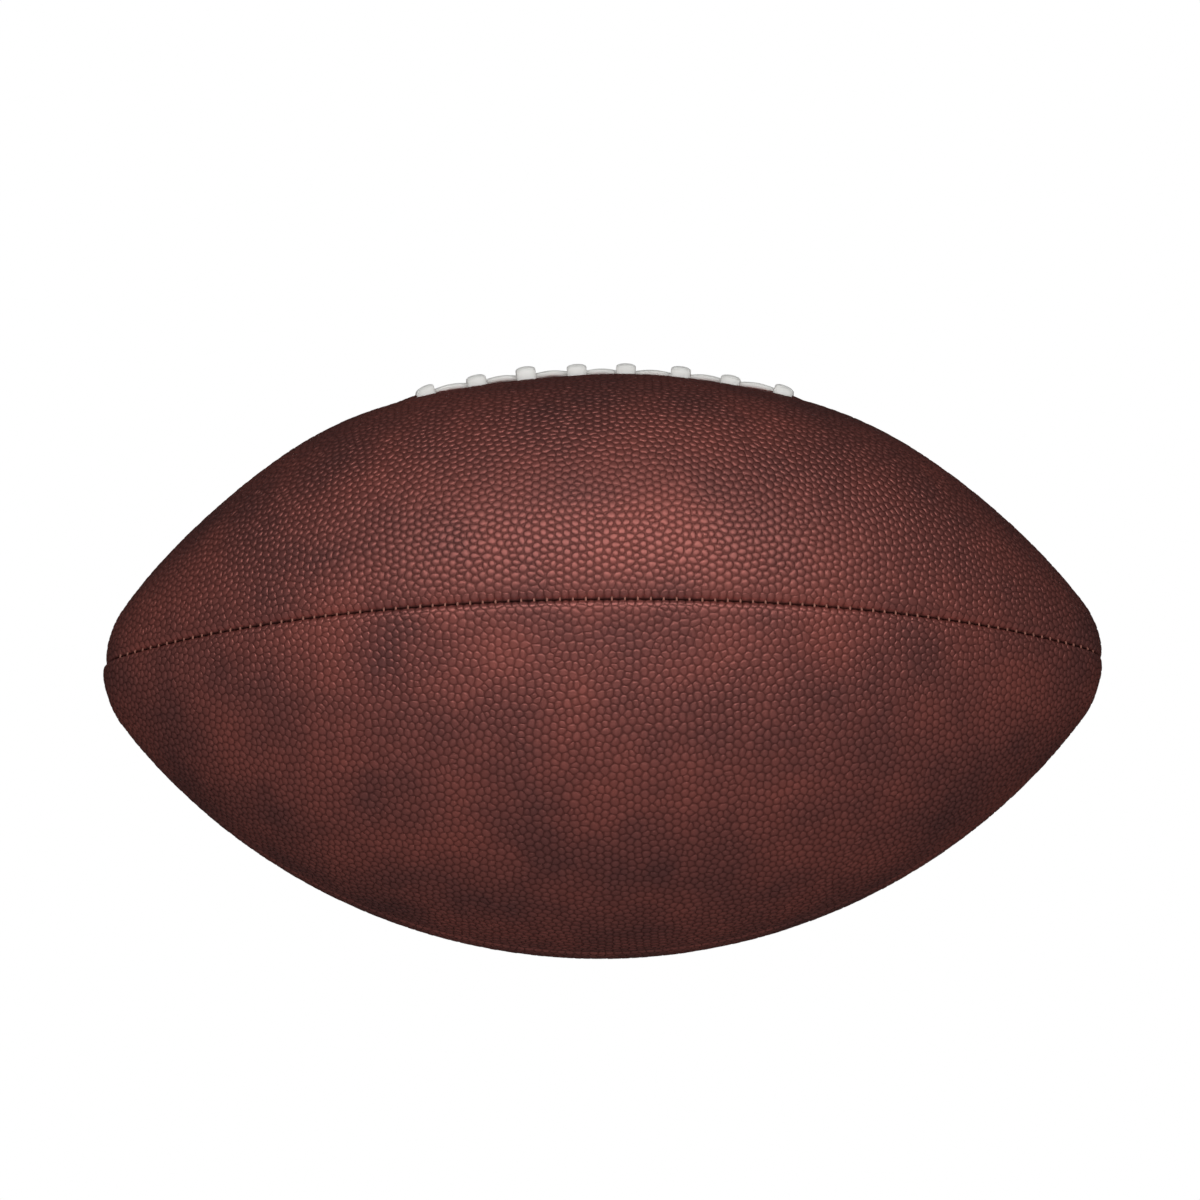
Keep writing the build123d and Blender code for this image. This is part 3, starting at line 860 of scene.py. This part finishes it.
def make_light(name, place, size, power, mirrored):
    """An area lamp aimed at the ball; a fill lamp isn't mirrored in glossy surfaces."""
    data = bpy.data.lights.new(name, "AREA")
    data.shape = "RECTANGLE"
    data.size, data.size_y = size
    data.energy = power
    light = bpy.data.objects.new(name, data)
    light.visible_camera = False
    light.visible_glossy = mirrored
    light.location = place
    light.rotation_euler = (-Vector(place)).to_track_quat("-Z", "Y").to_euler()
    bpy.context.collection.objects.link(light)


def make_world():
    """White behind the object, soft grey light around it."""
    world = bpy.data.worlds.new("studio")
    bpy.context.scene.world = world
    world.use_nodes = True
    nodes, links = world.node_tree.nodes, world.node_tree.links
    soft = nodes["Background"]
    soft.inputs["Color"].default_value = WORLD_COLOUR
    soft.inputs["Strength"].default_value = WORLD_STRENGTH
    white = nodes.new("ShaderNodeBackground")
    white.inputs["Color"].default_value = (1, 1, 1, 1)
    rays = nodes.new("ShaderNodeLightPath")
    mix = nodes.new("ShaderNodeMixShader")
    links.new(rays.outputs["Is Camera Ray"], mix.inputs["Fac"])
    links.new(soft.outputs["Background"], mix.inputs[1])
    links.new(white.outputs["Background"], mix.inputs[2])
    links.new(mix.outputs["Shader"], nodes["World Output"].inputs["Surface"])


# Inner pieces


def dress(piece, material):
    """Gives a solid its material."""
    piece.data.materials.clear()
    piece.data.materials.append(material)


# Scene

make_camera()
make_world()
make_floor()
for lamp, settings in LAMPS.items():
    make_light(lamp, *settings)

leather = leather_material()
valve_place = np.array([0.0, math.radians(VALVE_ANGLE)])
make_panel("panel_upper_rear", 11, (1, 1), True, valve_place, leather)
make_panel("panel_upper_front", 12, (-1, 1), True, None, leather)
make_panel("panel_lower_front", 13, (-1, -1), False, None, leather)
make_panel("panel_lower_rear", 14, (1, -1), False, None, leather)
make_lace(plain_material("lace_vinyl", *LACE_VINYL))
make_threads(plain_material("waxed_thread", *WAXED_THREAD))

cloth = plain_material("lining_cloth", *LINING_CLOTH)
rubber = plain_material("black_rubber", *BLACK_RUBBER)
for node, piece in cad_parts.items():
    if node.startswith(("lining", "lace_facing", "lace_tongue")):
        dress(piece, cloth)
    elif node.startswith(("bladder", "valve")):
        dress(piece, rubber)

bpy.context.scene.view_settings.view_transform = "Standard"
